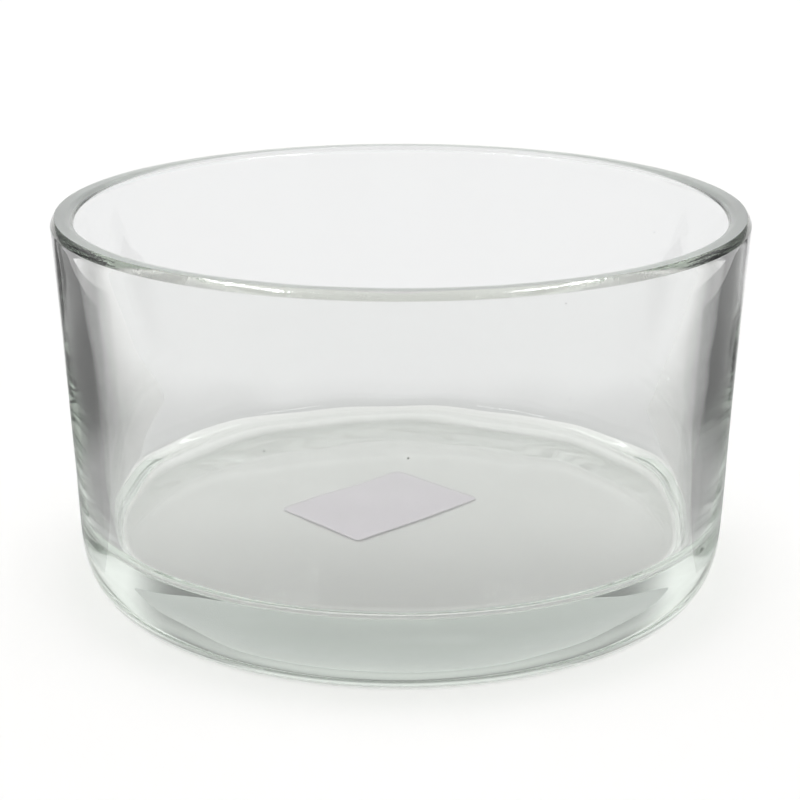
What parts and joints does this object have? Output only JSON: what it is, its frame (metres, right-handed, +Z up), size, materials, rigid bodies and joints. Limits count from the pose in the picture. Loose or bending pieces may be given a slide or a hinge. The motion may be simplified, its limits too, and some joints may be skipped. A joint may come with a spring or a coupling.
{
  "type": "floating candle bowl",
  "caption": "Clear pressed-glass bowl with a heavy base, gently tapering wall and bevelled rim, for water and floating candles, with a blank paper label under the base.",
  "frame": {"origin": "on the table, on the bowl's axis", "axes": "+Z up along the bowl's axis; +Y away from the viewer of the picture; +X to the viewer's right"},
  "size_m": [0.152, 0.152, 0.084],
  "materials": {
    "clear_glass": "clear pressed soda-lime glass with a faint green cast, polished rim",
    "label_paper": "blank matte white paper, gummed on its upper face"
  },
  "bodies": {
    "root": {"glass_bowl": "clear_glass", "base_label": "label_paper"}
  },
  "joints": []
}
